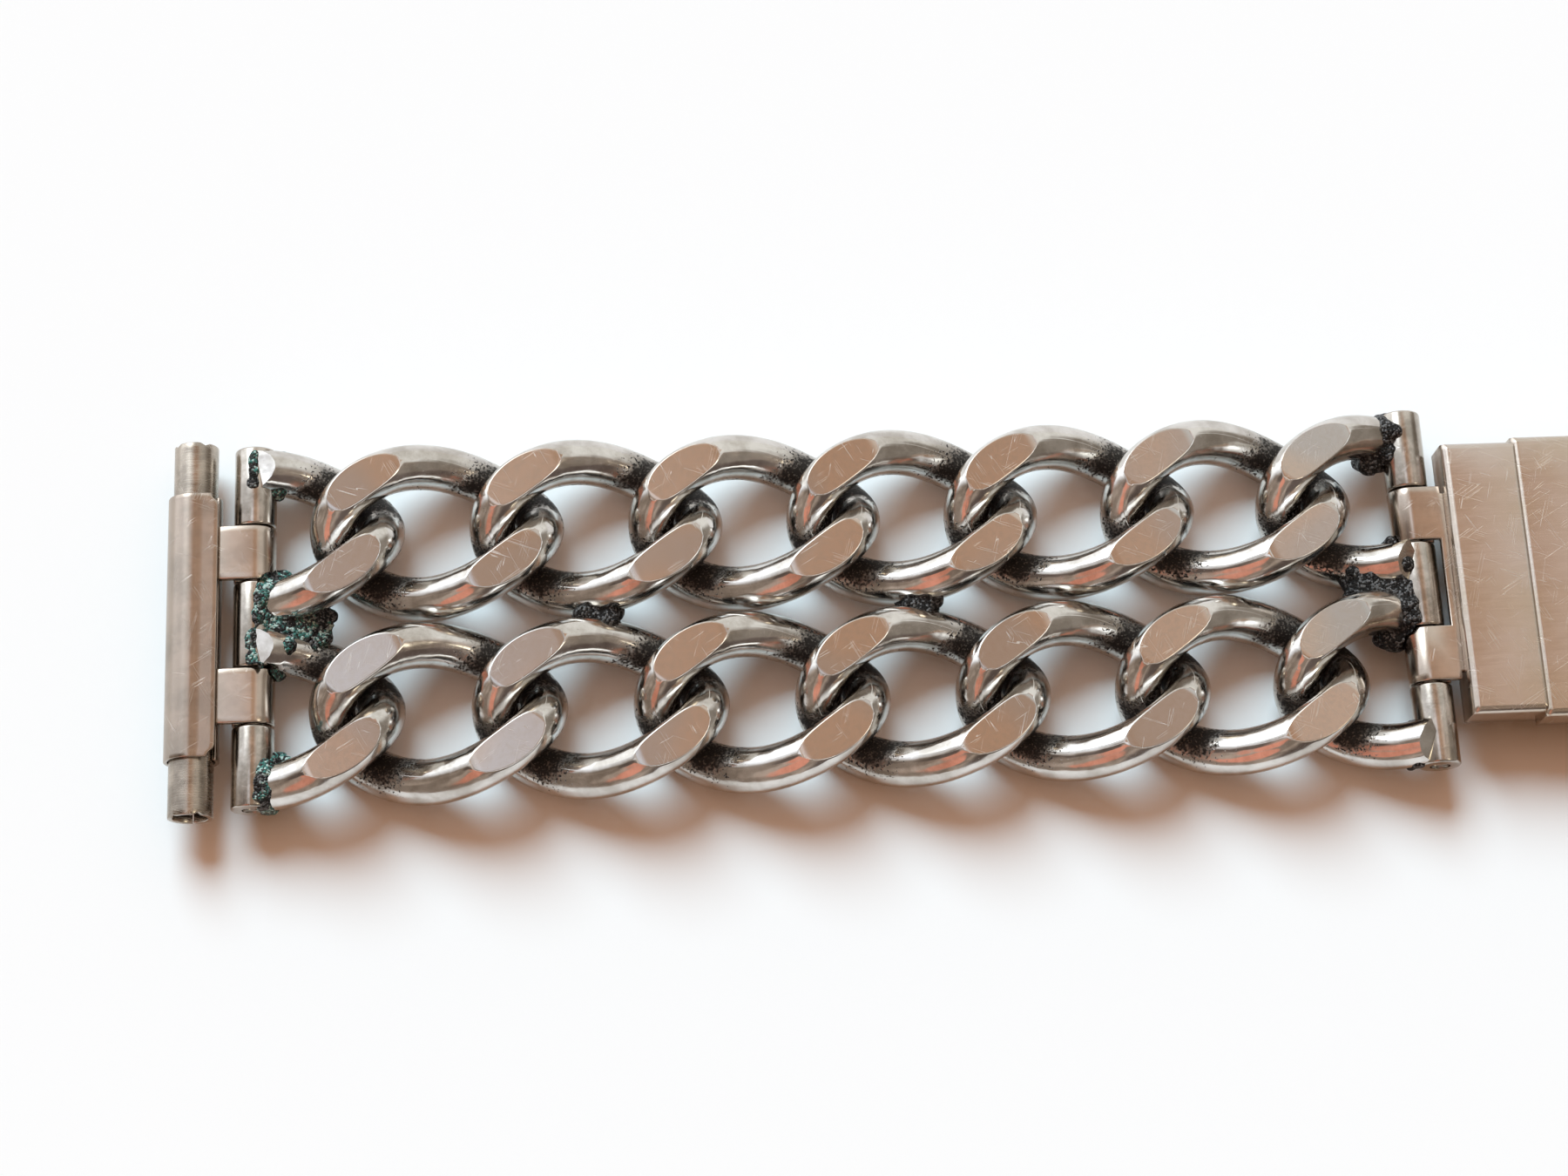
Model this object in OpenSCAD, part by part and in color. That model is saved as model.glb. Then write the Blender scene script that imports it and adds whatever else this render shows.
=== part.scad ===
// Expansion watch band: two rows of curb chain on each side of a spring-loaded
// expansion section, with a telescoping tube end for the watch on either side.
// X runs along the band, Y across it, Z up. The band lies flat on Z = 0, and the
// origin is under the middle of the expansion section.

/* [Curb chain] */
// Diameter of the round wire that the links are bent from
wire_d = 2.3; // [2.1:0.05:2.4]
// Distance from one link to the next along a row
link_pitch = 8; // [7.8:0.1:9]
// Looseness of a link on its neighbour, along the row
link_slack = 0.16; // [0.12:0.02:0.3]
// Outside width of one link
link_w = 9.2; // [8.9:0.1:9.8]
// Bend radius of a link's ends, at the middle of the wire
link_end_r = 3.1; // [2.8:0.05:3.3]
// Gap between the two rows of links
row_gap = 0.2; // [0.1:0.05:0.4]
// Angle that each end of a link is twisted out of the band's plane
link_twist = 45; // [42:1:48]
// Thickness of the chain between its ground faces
chain_t = 4.1; // [3.9:0.05:4.5]
// Length of a bead of solder between the rows, along the band
bead_l = 1.5; // [1:0.1:2]

/* [Hinges] */
// Diameter of the hinge pins
pin_d = 1; // [0.8:0.05:1.1]
// Outside diameter of the hinge knuckles
knuckle_d = 2.1; // [2:0.05:2.3]
// Length of the middle knuckle of the chain
mid_knuckle_l = 4.4; // [4.2:0.1:4.6]
// Length of each knuckle that folds in between the chain's knuckles
tab_l = 2.8; // [2.4:0.1:2.9]
// Gap between the end faces of neighbouring knuckles
knuckle_gap = 0.1; // [0.05:0.05:0.2]
// Distance from a watch-end hinge to the middle of the half links behind it
watch_reach = 1.1; // [0.9:0.1:1.6]
// Distance from a centre hinge to the middle of the half links behind it
centre_reach = 1.5; // [1.1:0.1:1.8]
// Thickness of the folded sheet of the sleeve's straps and the hinge leaf
sheet_t = 0.4; // [0.3:0.05:0.45]

/* [Watch ends] */
// Outside diameter of the sleeve
sleeve_d = 2.7; // [2.6:0.05:3]
// Length of the sleeve
sleeve_l = 13.6; // [12.5:0.1:15]
// Distance from the sleeve's axis to its hinge pin
sleeve_reach = 3; // [2.8:0.1:3.6]
// Outside diameter of the telescoping tubes
tube_d = 2.2; // [2.1:0.05:2.3]
// Bore of the telescoping tubes, for the watch's spring bar
tube_bore = 1.7; // [1.6:0.05:1.8]
// Length of each telescoping tube
tube_l = 7.7; // [7:0.1:8.5]
// Width over the ends of both tubes as the band lies
tube_span = 19.2; // [18.5:0.1:20]
// Width of the seam that runs along each rolled tube
seam_w = 0.15; // [0.1:0.05:0.3]

/* [Expansion section] */
// Distance from one full cover to the next
cover_pitch = 5; // [4.8:0.1:6]
// Gap between closed covers
cover_gap = 0.2; // [0.15:0.05:0.3]
// Width of the full covers, across the band
cover_w = 14.2; // [13.9:0.1:15]
// Length of each end cover, along the band
end_cover_l = 3.4; // [3.2:0.1:4]
// How much narrower an end cover is than a full one
end_cover_step = 0.5; // [0.4:0.05:0.6]
// Thickness of the covers' sheet
cover_t = 0.25; // [0.2:0.01:0.27]
// Radius of the covers' long edges
cover_r = 0.5; // [0.3:0.05:0.7]
// Height of the top of the covers above the wrist side
section_h = 3.75; // [3.7:0.05:4]
// Outside height of the lower links
lower_h = 1.8; // [1.75:0.05:1.85]
// Wall of the lower links and of the upper spring boxes
box_wall = 0.15; // [0.12:0.01:0.2]
// Gap between the upper and the lower links
level_gap = 0.05; // [0.03:0.01:0.08]
// Thickness of the staples' wire, square in section
staple_t = 0.5; // [0.4:0.02:0.52]
// Length of each staple leg inside a link
staple_leg = 3.6; // [3:0.1:4.5]
// Thickness of the leaf springs
spring_t = 0.12; // [0.08:0.01:0.16]
// Length of the leaf springs
spring_l = 9.4; // [9:0.1:9.8]
// Distance from the centre hinge to the first cover
leaf_reach = 1.75; // [1.7:0.05:2.2]

/* [Hidden] */
$fn = 64;

// clearances
press_gap = 0.02;        // a pin in the knuckles that hold it
running_gap = 0.06;      // a pin in the knuckles that turn on it
tube_gap = 0.05;         // a telescoping tube in its sleeve
side_gap = 0.1;          // a staple beside a link or a cover
leg_gap = 0.03;          // a staple leg beside a wall as it turns
expand_travel = 1.5;     // slide between an upper and a lower link
columns = 6;             // whole links in a row of one side

// chain
wire_r = wire_d / 2;
half_a = (link_pitch + wire_d + link_slack) / 2;
half_b = (link_w - wire_d) / 2;
end_fullness = (1 - half_b * half_b / (half_a * link_end_r)) / 2;
row_y = (link_w + row_gap) / 2;
mid_z = chain_t / 2;
wire_sides = 10;
wire_rings = 20;
bead_r = 0.75;
steel = [0.62, 0.60, 0.58];
dark_steel = [0.42, 0.41, 0.40];
pale_steel = [0.74, 0.72, 0.70];

// hinges
knuckle_r = knuckle_d / 2;
pad_end = knuckle_r + 0.15;
tab_y = mid_knuckle_l / 2 + knuckle_gap;
outer_knuckle_y = tab_y + tab_l + knuckle_gap;
chain_edge_y = row_y + link_w / 2;
pad_r = mid_knuckle_l / 2 - (row_y - half_b);

// expansion section
cover_l = cover_pitch - cover_gap;
leg_x = cover_pitch / 4;
web_t = 0.3;
box_y = cover_w / 2 - end_cover_step / 2 - cover_t - 2 * side_gap - web_t;
box_z = lower_h + level_gap;
box_top = section_h - cover_t;
leg_swing = staple_t / sqrt(2);
lower_leg_z = box_wall + leg_swing + leg_gap;
upper_leg_z = box_top - box_wall - leg_swing - leg_gap;
end_cover_x = 1.5 * cover_pitch + cover_gap / 2;
section_end = end_cover_x + end_cover_l;
leaf_z = mid_z + knuckle_r - sheet_t;
leaf_w = 2 * (tab_y + tab_l) - 0.8;
end_leg_x = 7 * leg_x;
tongue_end = end_leg_x + leg_swing + side_gap;
slot_gap = 0.02;

// stations along one side, counted outwards from the middle
centre_hinge_x = section_end + leaf_reach;
centre_half_x = centre_hinge_x + centre_reach;
watch_half_x = centre_half_x + (columns + 1) * link_pitch;
watch_hinge_x = watch_half_x + watch_reach;
sleeve_x = watch_hinge_x + sleeve_reach;

function unit(v) = v / norm(v);

// wire's middle line on a twisted oval: 0 is the link's left end, 180 its right end
function link_point(t) =
    let (x = -half_a * cos(t) * (1 + end_fullness * pow(sin(t), 2)),
         s = half_b * sin(t),
         turn = -link_twist * x / half_a)
    [x, s * cos(turn), s * sin(turn)];
function link_normal(t) =
    let (turn = -link_twist * link_point(t)[0] / half_a) [0, -sin(turn), cos(turn)];
function ground(z) = max(-mid_z, min(mid_z, z));
// ring of points round the wire, its high points ground to the chain's faces
function link_ring(t) =
    let (c = link_point(t),
         along = unit(link_point(t + 0.5) - link_point(t - 0.5)),
         out = unit(cross(along, link_normal(t))),
         up = cross(out, along))
    [for (i = [0 : wire_sides - 1])
        let (p = c + wire_r * (cos(i * 360 / wire_sides) * out + sin(i * 360 / wire_sides) * up))
        [p[0], p[1], ground(p[2])]];
function flat_list(lists) = [for (part = lists) for (p = part) p];
function side_faces(rings, joins) =
    [for (i = [0 : joins - 1]) for (j = [0 : wire_sides - 1])
        let (k = (i + 1) % rings, m = (j + 1) % wire_sides)
        [i * wire_sides + j, i * wire_sides + m, k * wire_sides + m, k * wire_sides + j]];

// One closed link, bent from round wire, twisted at both ends and ground flat
module link() {
    rings = [for (i = [0 : wire_rings - 1]) link_ring(i * 360 / wire_rings)];
    polyhedron(flat_list(rings), side_faces(wire_rings, wire_rings), convexity = 6);
}

// The right part of a link, cut square at x = cut
module half_link(cut) {
    first = acos(-cut / (half_a * (1 + end_fullness)));
    count = ceil(wire_rings / 2) + 1;
    step = (360 - 2 * first) / (count - 1);
    rings = [for (i = [0 : count - 1])
        [for (p = link_ring(first + i * step)) i == 0 || i == count - 1 ? [cut, p[1], p[2]] : p]];
    caps = [
        [for (j = [wire_sides - 1 : -1 : 0]) j],
        [for (j = [0 : wire_sides - 1]) (count - 1) * wire_sides + j]
    ];
    polyhedron(flat_list(rings), concat(side_faces(count, count - 1), caps), convexity = 6);
}

// A side is drawn towards -X and turned half round for the other side
module side(right) {
    rotate([0, 0, right ? 180 : 0]) children();
}

// One link in each row; a bead of solder joins the rows where it is asked for
module link_pair(number, soldered) {
    x = centre_half_x + (columns + 1 - number) * link_pitch;
    color(steel) translate([-x, 0, mid_z]) {
        if (soldered) {
            union() {
                for (s = [-1, 1]) translate([0, s * row_y, 0]) link();
                scale([bead_l / (2 * bead_r), 1, 1])
                    rotate([90, 0, 0]) cylinder(r = bead_r, h = row_gap + wire_r, center = true);
            }
        } else {
            for (s = [-1, 1]) translate([0, s * row_y, 0]) link();
        }
    }
}

// The cut links that join each row to its end knuckles
module watch_half_links() {
    cut = pad_end - watch_reach;
    color(steel) for (s = [-1, 1])
        translate([-watch_half_x, s * row_y, mid_z]) half_link(cut);
}

module centre_half_links() {
    cut = pad_end - centre_reach;
    color(steel) for (s = [-1, 1])
        translate([-centre_half_x, s * row_y, mid_z]) rotate([0, 0, 180]) half_link(cut);
}

module across(r, y0, y1) {
    translate([0, y1, 0]) rotate([90, 0, 0]) cylinder(r = r, h = y1 - y0);
}

// Three tubes on the hinge pin, with the solder that holds the wire ends on them
module chain_knuckles(side_of_chain) {
    spans = [
        [-chain_edge_y, -outer_knuckle_y],
        [-mid_knuckle_l / 2, mid_knuckle_l / 2],
        [outer_knuckle_y, chain_edge_y]
    ];
    difference() {
        union() {
            for (span = spans) across(knuckle_r, span[0], span[1]);
            for (y = [-row_y - half_b, -row_y + half_b, row_y - half_b, row_y + half_b])
                translate([0, y, 0]) rotate([0, side_of_chain * 90, 0]) cylinder(r = pad_r, h = pad_end);
        }
        across(pin_d / 2 + press_gap, -chain_edge_y - 1, chain_edge_y + 1);
    }
}

module watch_knuckles() {
    color(dark_steel) translate([-watch_hinge_x, 0, mid_z]) chain_knuckles(1);
}

module centre_knuckles() {
    color(dark_steel) translate([-centre_hinge_x, 0, mid_z]) chain_knuckles(-1);
}

module hinge_pin(x) {
    color(pale_steel) translate([-x, 0, mid_z]) across(pin_d / 2, -chain_edge_y + 0.1, chain_edge_y - 0.1);
}

// Rolled sleeve with two straps that are folded round the hinge pin
module end_sleeve() {
    color(steel) translate([-sleeve_x, 0, mid_z]) difference() {
        union() {
            across(sleeve_d / 2, -sleeve_l / 2, sleeve_l / 2);
            for (s = [-1, 1]) {
                y0 = s > 0 ? tab_y : -tab_y - tab_l;
                translate([sleeve_reach, 0, 0]) across(knuckle_r, y0, y0 + tab_l);
                translate([0, y0, knuckle_r - sheet_t]) cube([sleeve_reach, tab_l, sheet_t]);
            }
        }
        across(tube_d / 2 + tube_gap, -sleeve_l, sleeve_l);
        translate([sleeve_reach, 0, 0]) across(pin_d / 2 + running_gap, -sleeve_l, sleeve_l);
    }
}

// Rolled tube that slides in the sleeve and takes one end of the spring bar
module end_tube(s) {
    color(dark_steel) translate([-sleeve_x, 0, mid_z]) difference() {
        y0 = s > 0 ? tube_span / 2 - tube_l : -tube_span / 2;
        across(tube_d / 2, y0, y0 + tube_l);
        across(tube_bore / 2, -tube_span, tube_span);
        translate([-seam_w / 2, y0 - 1, -tube_d]) cube([seam_w, tube_l + 2, tube_d]);
    }
}

// Hinge leaf: a plate with two folded knuckles, whose tongue is held in the end cover
module hinge_leaf() {
    window = knuckle_r + 0.3;
    color(steel) difference() {
        union() {
            translate([-centre_hinge_x, 0, mid_z])
                for (y0 = [-tab_y - tab_l, tab_y]) across(knuckle_r, y0, y0 + tab_l);
            translate([-centre_hinge_x, -tab_y - tab_l, leaf_z])
                cube([leaf_reach - 0.4, 2 * (tab_y + tab_l), sheet_t]);
            translate([-centre_hinge_x, -leaf_w / 2, leaf_z])
                cube([centre_hinge_x - tongue_end, leaf_w, sheet_t]);
        }
        translate([-centre_hinge_x - knuckle_r - 1, -tab_y, 0])
            cube([window + knuckle_r + 1, 2 * tab_y, section_h + 1]);
        translate([-centre_hinge_x, 0, mid_z])
            across(pin_d / 2 + running_gap, -chain_edge_y, chain_edge_y);
    }
}

// Profile of a folded channel, open below, with rounded upper edges
module cap_profile(l, h, r) {
    translate([-l / 2, 0]) square([l, h - r]);
    translate([-l / 2 + r, 0]) square([l - 2 * r, h]);
    for (s = [-1, 1]) translate([s * (l / 2 - r), h - r]) circle(r = r);
}

module extrude_across(w) {
    translate([0, w / 2, 0]) rotate([90, 0, 0]) linear_extrude(w) children();
}

// Upper link: the outer cover with its folded ends, and the spring box inside it
module upper_link(l, w, slot) {
    inner_l = l - 2 * cover_t;
    color(steel) difference() {
        translate([0, 0, box_z + 0.1]) extrude_across(w) cap_profile(l, section_h - box_z - 0.1, cover_r);
        translate([0, 0, box_z]) extrude_across(w - 2 * cover_t)
            cap_profile(inner_l, box_top - box_z, cover_r - cover_t);
        leaf_slot(l, slot);
    }
    color(dark_steel) difference() {
        translate([0, 0, box_z]) extrude_across(2 * box_y)
            cap_profile(inner_l, box_top - box_z, cover_r - cover_t);
        translate([-inner_l / 2 + box_wall, -box_y - 1, box_z + box_wall])
            cube([inner_l - 2 * box_wall, 2 * box_y + 2, box_top - box_z - 2 * box_wall]);
        leaf_slot(l, slot);
    }
}

// Slot in one long side for the hinge leaf's tongue
module leaf_slot(l, slot) {
    if (slot)
        translate([-l / 2 - 1, -leaf_w / 2 - slot_gap, leaf_z - slot_gap])
            cube([l / 2 + 1, leaf_w + 2 * slot_gap, sheet_t + 2 * slot_gap]);
}

// Lower link: a flat box, open at both sides, that lies on the wrist
module lower_link() {
    r = 0.35;
    color(dark_steel) difference() {
        extrude_across(2 * box_y) union() {
            translate([-cover_l / 2, r]) square([cover_l, lower_h - 2 * r]);
            translate([-cover_l / 2 + r, 0]) square([cover_l - 2 * r, lower_h]);
            for (s = [-1, 1]) for (z = [r, lower_h - r]) translate([s * (cover_l / 2 - r), z]) circle(r = r);
        }
        translate([-cover_l / 2 + box_wall * 2, -box_y - 1, box_wall])
            cube([cover_l - 4 * box_wall, 2 * box_y + 2, lower_h - 2 * box_wall]);
    }
}

// Bowed leaf spring across a box; its ends bear on the staple legs
module leaf_spring(w, end_z, middle_z) {
    rise = abs(end_z - middle_z);
    r = (pow(spring_l / 2, 2) + pow(rise, 2)) / (2 * rise);
    up = middle_z > end_z ? 1 : -1;
    color(pale_steel) intersection() {
        translate([0, 0, middle_z - up * r]) rotate([0, 90, 0]) difference() {
            cylinder(r = r, h = w, center = true, $fn = 200);
            cylinder(r = r - spring_t, h = w + 1, center = true, $fn = 200);
        }
        translate([-w, -spring_l / 2, min(end_z, middle_z) - 1]) cube([2 * w, spring_l, rise + 2]);
    }
}

module upper_spring(w) {
    leaf_spring(w, upper_leg_z - staple_t / 2 - leg_gap, box_z + box_wall + leg_gap);
}

module lower_spring() {
    leaf_spring(3.6, lower_leg_z + staple_t / 2 + leg_gap + spring_t, lower_h - box_wall - leg_gap);
}

// Two staples, one at each side of the band, that tie an upper to a lower link
module staple_pair(x) {
    web_y = box_y + side_gap;
    color(pale_steel) translate([x, 0, 0]) for (s = [-1, 1]) scale([1, s, 1]) union() {
        for (z = [lower_leg_z, upper_leg_z])
            translate([-staple_t / 2, box_y - staple_leg, z - staple_t / 2])
                cube([staple_t, staple_leg + side_gap + web_t, staple_t]);
        translate([-staple_t / 2, web_y, lower_leg_z])
            cube([staple_t, web_t, upper_leg_z - lower_leg_z]);
    }
}

module full_cover(x) {
    translate([x, 0, 0]) upper_link(cover_l, cover_w, false);
}

module end_cover() {
    translate([-end_cover_x - end_cover_l / 2, 0, 0])
        upper_link(end_cover_l, cover_w - end_cover_step, true);
}

module end_cover_spring() {
    translate([-end_leg_x, 0, 0]) upper_spring(2 * leg_swing);
}

full_cover(0);  // centre_cover
full_cover(-cover_pitch);  // left_inner_cover
full_cover(cover_pitch);  // right_inner_cover
side(false) end_cover();  // left_end_cover
side(true) end_cover();  // right_end_cover
translate([-cover_pitch / 2, 0, 0]) lower_link();  // left_inner_lower_link
translate([-cover_pitch * 1.5, 0, 0]) lower_link();  // left_outer_lower_link
translate([cover_pitch / 2, 0, 0]) lower_link();  // right_inner_lower_link
translate([cover_pitch * 1.5, 0, 0]) lower_link();  // right_outer_lower_link
upper_spring(3.6);  // centre_cover_spring
translate([-cover_pitch, 0, 0]) upper_spring(3.6);  // left_inner_cover_spring
translate([cover_pitch, 0, 0]) upper_spring(3.6);  // right_inner_cover_spring
side(false) end_cover_spring();  // left_end_cover_spring
side(true) end_cover_spring();  // right_end_cover_spring
translate([-cover_pitch / 2, 0, 0]) lower_spring();  // left_inner_lower_spring
translate([-cover_pitch * 1.5, 0, 0]) lower_spring();  // left_outer_lower_spring
translate([cover_pitch / 2, 0, 0]) lower_spring();  // right_inner_lower_spring
translate([cover_pitch * 1.5, 0, 0]) lower_spring();  // right_outer_lower_spring
for (i = [1 : 4]) {
    staple_pair(-(2 * i - 1) * leg_x);
    staple_pair((2 * i - 1) * leg_x);
}
for (right = [false, true]) {
    name = right ? "right_" : "left_";
    side(right) hinge_leaf();
    side(right) hinge_pin(centre_hinge_x);
    side(right) centre_knuckles();
    side(right) centre_half_links();
    for (k = [1 : columns])
        side(right) link_pair(k, k == 2 || k == 4);
    side(right) watch_half_links();
    side(right) watch_knuckles();
    side(right) hinge_pin(watch_hinge_x);
    side(right) end_sleeve();
    side(right) end_tube(right ? -1 : 1);
    side(right) end_tube(right ? 1 : -1);
}
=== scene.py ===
# Expansion watch band: polished curb chain, soldered hinges, telescoping ends, brushed covers
import math
import random

import bmesh
import bpy
from mathutils import Matrix, Vector, noise
from mathutils.kdtree import KDTree


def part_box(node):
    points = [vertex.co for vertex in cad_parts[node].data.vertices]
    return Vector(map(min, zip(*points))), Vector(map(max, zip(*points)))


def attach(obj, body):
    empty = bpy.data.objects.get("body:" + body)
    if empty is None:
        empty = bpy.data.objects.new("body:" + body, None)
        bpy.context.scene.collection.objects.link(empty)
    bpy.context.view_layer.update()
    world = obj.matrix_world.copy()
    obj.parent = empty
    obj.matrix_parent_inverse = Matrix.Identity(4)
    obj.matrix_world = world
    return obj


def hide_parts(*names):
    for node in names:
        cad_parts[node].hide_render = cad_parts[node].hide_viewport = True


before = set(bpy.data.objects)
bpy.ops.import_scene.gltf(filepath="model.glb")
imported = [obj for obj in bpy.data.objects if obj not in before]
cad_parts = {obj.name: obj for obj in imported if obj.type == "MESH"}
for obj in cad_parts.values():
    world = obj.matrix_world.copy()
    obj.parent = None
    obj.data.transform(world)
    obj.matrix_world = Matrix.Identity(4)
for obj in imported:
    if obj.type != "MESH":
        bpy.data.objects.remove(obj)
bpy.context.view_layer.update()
mm = 0.001
sideNames = ("left", "right")
endNames = ("watch", "centre")
print("frame loaded:", len(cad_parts), "nodes")


# Camera: where the photograph was taken from, over the left half of the band
cameraSettings = {
    "place": Vector((-51.02, -41.30, 135.30)) * mm,
    "turn": (17.76, -1.79, -2.62),
    "lens": 63.9,
    "sensor": 36,
}


def addCamera():
    data = bpy.data.cameras.new("camera")
    data.lens = cameraSettings["lens"]
    data.sensor_width = cameraSettings["sensor"]
    data.clip_start = 1 * mm
    camera = bpy.data.objects.new("camera", data)
    camera.location = cameraSettings["place"]
    camera.rotation_euler = [math.radians(a) for a in cameraSettings["turn"]]
    bpy.context.scene.collection.objects.link(camera)
    bpy.context.scene.camera = camera


# Node helpers
def addNode(tree, kind, inputs=None, **settings):
    node = tree.nodes.new(kind)
    for key, value in settings.items():
        setattr(node, key, value)
    for key, value in (inputs or {}).items():
        if isinstance(value, bpy.types.NodeSocket):
            tree.links.new(value, node.inputs[key])
        else:
            node.inputs[key].default_value = value
    return node


def maths(tree, operation, a, b=0.0, clamp=False):
    return addNode(tree, "ShaderNodeMath", {0: a, 1: b}, operation=operation, use_clamp=clamp).outputs[0]


def smoothRange(tree, value, low, high, toLow=0.0, toHigh=1.0):
    node = addNode(tree, "ShaderNodeMapRange", {"Value": value, "From Min": low, "From Max": high,
                                                "To Min": toLow, "To Max": toHigh})
    node.interpolation_type = "SMOOTHSTEP"
    return node.outputs["Result"]


def mixColour(tree, factor, a, b, blend="MIX"):
    # for colours, the Mix node's factor is input 0, its colours are 6 and 7, and its result is output 2
    node = addNode(tree, "ShaderNodeMix", data_type="RGBA", blend_type=blend)
    for number, value in ((0, factor), (6, a), (7, b)):
        if isinstance(value, bpy.types.NodeSocket):
            tree.links.new(value, node.inputs[number])
        else:
            node.inputs[number].default_value = (*value, 1.0) if isinstance(value, tuple) else value
    return node.outputs[2]


def mixValue(tree, factor, a, b):
    return addNode(tree, "ShaderNodeMix", {0: factor, 2: a, 3: b}, data_type="FLOAT").outputs[0]


def cloudNoise(tree, vector, scale, detail, roughness=0.5):
    node = addNode(tree, "ShaderNodeTexNoise", {"Vector": vector, "Scale": scale, "Detail": detail,
                                                "Roughness": roughness})
    return node.outputs["Fac"]


def streaks(tree, vector, turn, length, width, detail=0.0):
    # noise drawn out along one direction; length and width are in the vector's units
    stretch = {"Vector": vector, "Rotation": (0, 0, turn), "Scale": (length, width, 3.0)}
    mapped = addNode(tree, "ShaderNodeMapping", stretch, vector_type="TEXTURE")
    return cloudNoise(tree, mapped.outputs[0], 1.0, detail)


def newGroup(name, inputs, outputs):
    group = bpy.data.node_groups.new(name, "ShaderNodeTree")
    for key, (kind, value) in inputs.items():
        socket = group.interface.new_socket(key, in_out="INPUT", socket_type=kind)
        if value is not None:
            socket.default_value = value
    for key, kind in outputs.items():
        group.interface.new_socket(key, in_out="OUTPUT", socket_type=kind)
    start = group.nodes.new("NodeGroupInput").outputs
    end = group.nodes.new("NodeGroupOutput").inputs
    return group, start, end


def useGroup(tree, group, inputs):
    return addNode(tree, "ShaderNodeGroup", inputs, node_tree=group).outputs


# Shared effects. Their vector is the object's own place in millimetres.
# Each run of scratches has its turn, its length and its width.
scratchRuns = ((0.55, 5.0, 0.16), (-0.35, 6.0, 0.19), (1.3, 4.2, 0.14), (-1.05, 5.5, 0.17))


def scratchGroup():
    group, start, end = newGroup(
        "fineScratches",
        {"Vector": ("NodeSocketVector", None), "Amount": ("NodeSocketFloat", 0.5)},
        {"Mask": "NodeSocketFloat"})
    least = maths(group, "SUBTRACT", 0.74, maths(group, "MULTIPLY", start["Amount"], 0.24))
    total = 0.0
    for turn, length, width in scratchRuns:
        # a scratch is where drawn-out noise crosses its middle value, inside patches of a broader noise
        value = streaks(group, start["Vector"], turn, length, width)
        offMiddle = maths(group, "ABSOLUTE", maths(group, "SUBTRACT", value, 0.5))
        line = smoothRange(group, offMiddle, 0.010, 0.002)
        moved = addNode(group, "ShaderNodeVectorMath", {0: start["Vector"], 1: (turn * 9, turn * 5, 0)})
        patch = maths(group, "SUBTRACT", streaks(group, moved.outputs[0], turn, 1.5, 0.45), least)
        line = maths(group, "MULTIPLY", line, smoothRange(group, patch, 0.0, 0.1))
        total = maths(group, "MAXIMUM", total, line)
    group.links.new(total, end["Mask"])
    return group


def grimeGroup():
    group, start, end = newGroup(
        "recessGrime",
        {"Vector": ("NodeSocketVector", None), "Recess": ("NodeSocketFloat", 0.0),
         "Amount": ("NodeSocketFloat", 1.0)},
        {"Mask": "NodeSocketFloat", "Speckle": "NodeSocketFloat"})
    cloud = cloudNoise(group, start["Vector"], 1.6, 4.0)
    grit = cloudNoise(group, start["Vector"], 7.0, 3.0)
    uneven = maths(group, "ADD", maths(group, "MULTIPLY", cloud, 0.6), maths(group, "MULTIPLY", grit, 0.5))
    reach = maths(group, "ADD", maths(group, "MULTIPLY", start["Recess"], start["Amount"]), uneven)
    group.links.new(smoothRange(group, reach, 1.0, 1.32), end["Mask"])
    specks = maths(group, "ADD", maths(group, "MULTIPLY", start["Recess"], 0.36), grit)
    group.links.new(smoothRange(group, specks, 0.74, 0.79), end["Speckle"])
    return group


def grainGroup():
    group, start, end = newGroup(
        "brushedGrain",
        {"Vector": ("NodeSocketVector", None), "Coarse": ("NodeSocketFloat", 1.0)},
        {"Value": "NodeSocketFloat"})
    fine = streaks(group, start["Vector"], 0.02, 2.2, 0.07, 2.0)
    broad = streaks(group, start["Vector"], 0.3, 3.0, 0.35, 2.0)
    share = maths(group, "MULTIPLY", start["Coarse"], 0.5, clamp=True)
    group.links.new(mixValue(group, share, fine, broad), end["Value"])
    return group


def stainGroup():
    group, start, end = newGroup(
        "handledStain",
        {"Vector": ("NodeSocketVector", None), "Clean": ("NodeSocketColor", (1, 1, 1, 1)),
         "Stained": ("NodeSocketColor", (0.5, 0.5, 0.5, 1)), "Size": ("NodeSocketFloat", 0.5)},
        {"Color": "NodeSocketColor"})
    value = smoothRange(group, cloudNoise(group, start["Vector"], start["Size"], 5.0, 0.6), 0.35, 0.68)
    group.links.new(mixColour(group, value, start["Clean"], start["Stained"]), end["Color"])
    return group


groups = {
    "scratches": scratchGroup(),
    "grime": grimeGroup(),
    "grain": grainGroup(),
    "stain": stainGroup(),
}


def startMaterial(name, **shine):
    material = bpy.data.materials.new(name)
    material.use_nodes = True
    tree = material.node_tree
    shader = tree.nodes["Principled BSDF"]
    for key, value in shine.items():
        shader.inputs[key].default_value = value
    place = addNode(tree, "ShaderNodeTexCoord").outputs["Object"]
    inMm = addNode(tree, "ShaderNodeVectorMath", {0: place, "Scale": 1 / mm}, operation="SCALE")
    return material, tree, shader, inMm.outputs[0]


def connect(tree, shader, values, height, strength, depth):
    for key, value in values.items():
        tree.links.new(value, shader.inputs[key])
    bump = addNode(tree, "ShaderNodeBump", {"Height": height, "Strength": strength, "Distance": depth * mm})
    tree.links.new(bump.outputs["Normal"], shader.inputs["Normal"])


def attribute(tree, name):
    return addNode(tree, "ShaderNodeAttribute", attribute_name=name).outputs["Fac"]


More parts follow.
